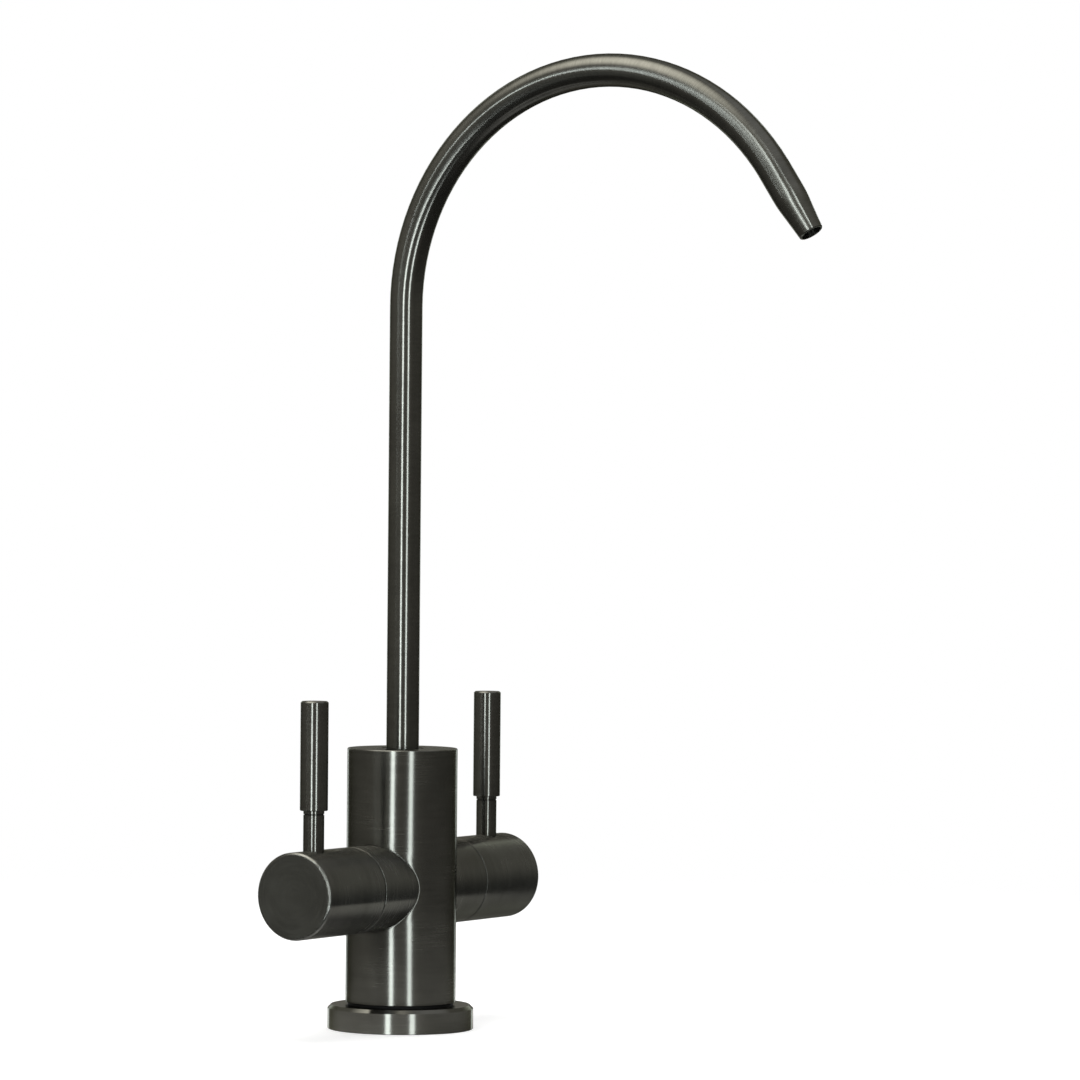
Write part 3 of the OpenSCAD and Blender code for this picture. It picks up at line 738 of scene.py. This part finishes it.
def ring_mesh(name, radius, low, high):
    """Open upright ring about the tap's axis."""
    mesh = bpy.data.meshes.new(name)
    shape = bmesh.new()
    bmesh.ops.create_cone(shape, segments=ROUND_SEGMENTS, radius1=radius, radius2=radius, depth=high - low)
    bmesh.ops.translate(shape, verts=shape.verts, vec=(0, 0, (low + high) / 2))
    shape.to_mesh(mesh)
    shape.free()
    return mesh


def disc_mesh(name, radius, height):
    """Flat round sheet about the tap's axis."""
    mesh = bpy.data.meshes.new(name)
    shape = bmesh.new()
    bmesh.ops.create_circle(shape, cap_ends=True, segments=ROUND_SEGMENTS, radius=radius)
    bmesh.ops.translate(shape, verts=shape.verts, vec=(0, 0, height))
    shape.to_mesh(mesh)
    shape.free()
    return mesh


def stage_object(name, mesh, material):
    """Piece of the studio, which isn't part of the tap."""
    stage = bpy.data.objects.new(name, mesh)
    mesh.materials.append(material)
    bpy.context.scene.collection.objects.link(stage)
    return stage


def fading(surface, start, end):
    """Share of a stage surface that has faded away at a distance from its middle."""
    return surface.ramp(surface.vector("LENGTH", surface.position()), start, end, 0.0, 1.0)


def leaning(surface, place, direction):
    """How far a place lies in a direction: 1 straight in it, -1 opposite."""
    return surface.vector("DOT_PRODUCT", surface.vector("NORMALIZE", place), direction)


def sideways(surface):
    """How far a stage point lies to the camera's right: 1 straight to the right, -1 to the left."""
    return leaning(surface, surface.position(), CAMERA_RIGHT)


def clear(surface):
    """Shader that lets everything through."""
    return surface.tree.nodes.new("ShaderNodeBsdfTransparent").outputs[0]


def glow(surface, colour, strength):
    """Shader that only gives light."""
    node = surface.tree.nodes.new("ShaderNodeEmission")
    surface.feed(node.inputs["Color"], colour)
    surface.feed(node.inputs["Strength"], strength)
    return node.outputs[0]


def make_floor():
    """Pale floor that fades into the backdrop and keeps the tap's soft shadow. It is clear from below."""
    surface = Surface("floor")
    surface.set(Base_Color=FLOOR_COLOUR, Roughness=FLOOR_ROUGHNESS, Emission_Color=WHITE)
    surface.set(Emission_Strength=surface.math("MULTIPLY", seen_rays(surface.tree), FLOOR_GLOW))
    below = surface.tree.nodes.new("ShaderNodeNewGeometry").outputs["Backfacing"]
    gone = surface.math("MAXIMUM", fading(surface, FLOOR_FADE_START, FLOOR_RADIUS), below)
    surface.feed(surface.output, surface.blend(gone, surface.shader.outputs[0], clear(surface)))
    floor = stage_object("floor", disc_mesh("floor", FLOOR_RADIUS, 0), surface.material)
    floor.visible_glossy = False
    floor.visible_shadow = False


def mirrored_card(name, mesh, material):
    """Stage piece that only mirrored rays see."""
    card = stage_object(name, mesh, material)
    card.visible_camera = False
    card.visible_diffuse = False
    card.visible_shadow = False
    return card


def make_sheet():
    """White, slightly glossy sheet under the tap, which brightens the base and the undersides."""
    surface = Surface("white_sheet")
    slant = surface.tree.nodes.new("ShaderNodeLayerWeight").outputs["Facing"]
    mirror = surface.tree.nodes.new("ShaderNodeBsdfGlossy")
    mirror.inputs["Roughness"].default_value = 0.0
    surface.feed(mirror.inputs["Color"], surface.ramp(slant, *SHEET_MIRROR, 0.0, 1.0))
    across = surface.ramp(sideways(surface), *SHEET_SIDES, *SHEET_GLOWS)
    ahead = leaning(surface, surface.position(-SHEET_PLACE), towards_camera())
    strength = surface.math("ADD", across, surface.ramp(ahead, *SHEET_FRONT, 0.0, SHEET_FRONT_GLOW))
    from_shade = surface.vector("ABSOLUTE", surface.position(SHEET_SHADE_PLACE - SHEET_PLACE))
    length, width = surface.parts_of(from_shade)[:2]
    past_length = surface.ramp(length, *SHEET_SHADE_LENGTH, SHEET_SHADE, 1.0)
    past_width = surface.ramp(width, *SHEET_SHADE_WIDTH, SHEET_SHADE, 1.0)
    shaded = surface.math("MULTIPLY", strength, surface.math("MAXIMUM", past_length, past_width))
    lit = surface.add(glow(surface, WHITE, shaded), mirror.outputs[0])
    gone = fading(surface, SHEET_FADE_START, SHEET_RADIUS)
    surface.feed(surface.output, surface.blend(gone, lit, clear(surface)))
    disc = disc_mesh("white_sheet", SHEET_RADIUS, -SHEET_DEPTH)
    sheet = mirrored_card("white_sheet", disc, surface.material)
    sheet.location = SHEET_PLACE


def make_wall():
    """Grey wall all round, darker low down and on the camera's right."""
    surface = Surface("grey_wall")
    low_grey = surface.ramp(sideways(surface), *WALL_SIDES, *WALL_LOW_GREYS)
    high_grey = surface.ramp(sideways(surface), *WALL_SIDES, *WALL_HIGH_GREYS)
    height = surface.parts_of(surface.position())[2]
    grey = surface.ramp(height, *WALL_HEIGHTS, low_grey, high_grey)
    surface.feed(surface.output, glow(surface, WALL_COLOUR, grey))
    ring = ring_mesh("grey_wall", WALL_RADIUS, WALL_BOTTOM, WALL_TOP)
    mirrored_card("grey_wall", ring, surface.material)


def make_ground():
    """Dark ground at the wall's foot, paler on one side."""
    surface = Surface("dark_ground")
    nearness = leaning(surface, surface.position((0, 0, WALL_BOTTOM)), towards_camera(GROUND_TURN))
    grey = surface.ramp(nearness, *GROUND_SIDES, *GROUND_GREYS)
    surface.feed(surface.output, glow(surface, WALL_COLOUR, grey))
    mirrored_card("dark_ground", disc_mesh("dark_ground", WALL_RADIUS, WALL_BOTTOM), surface.material)


def make_arch_card(target):
    """Round card above the arch, bright in the middle and fading outwards, turned to the arch."""
    surface = Surface("arch_card")
    away = surface.vector("LENGTH", surface.position())
    strength = surface.ramp(away, ARCH_CARD_FADE_START, ARCH_CARD_RADIUS, *ARCH_CARD_GLOWS)
    surface.feed(surface.output, glow(surface, ARCH_CARD_COLOUR, strength))
    card = mirrored_card("arch_card", disc_mesh("arch_card", ARCH_CARD_RADIUS, 0), surface.material)
    card.location = ARCH_CARD_PLACE
    card.rotation_euler = (target - ARCH_CARD_PLACE).to_track_quat("Z", "Y").to_euler()


def make_lamp(name, place, target, width, height, radiance, colour=WHITE[:3], mirrored=True, slant=0.0):
    """Area lamp that is either mirrored in the metal or lights the floor. Its width may slant upwards."""
    data = bpy.data.lights.new(name, "AREA")
    data.shape = "RECTANGLE"
    data.size = width
    data.size_y = height
    data.energy = radiance * math.pi * width * height
    data.color = colour
    lamp = bpy.data.objects.new(name, data)
    lamp.location = place
    aimed = (target - place).to_track_quat("-Z", "Y")
    lamp.rotation_euler = (aimed @ Quaternion(Z_AXIS, slant)).to_euler()
    lamp.visible_camera = False
    lamp.visible_diffuse = not mirrored
    lamp.visible_glossy = mirrored
    bpy.context.scene.collection.objects.link(lamp)


make_world()
make_floor()
make_sheet()
make_wall()
make_ground()
for name, (turn, low, high, radiance) in STRIPS.items():
    level = Z_AXIS * (low + high) / 2
    foot = towards_camera(math.radians(turn)) * STRIP_DISTANCE
    make_lamp(name, foot + level, level, STRIP_WIDTH, high - low, radiance, STRIP_COLOUR)
arch_top = Vector((0, -BEND_RADIUS, SPRING_HEIGHT + BEND_RADIUS))
make_arch_card(arch_top)
high_lamp = arch_top + towards_camera(HIGH_LAMP_TURN, HIGH_LAMP_ELEVATION) * HIGH_LAMP_DISTANCE
make_lamp("high_lamp", high_lamp, arch_top, *HIGH_LAMP_SIZE, HIGH_LAMP_RADIANCE, HIGH_LAMP_COLOUR,
          slant=HIGH_LAMP_SLANT)
make_lamp("top_softbox", Z_AXIS * TOP_HEIGHT, Vector((0, 0, 0)), TOP_SIZE, TOP_SIZE, TOP_RADIANCE,
          mirrored=False)

bpy.context.scene.view_settings.view_transform = "Standard"
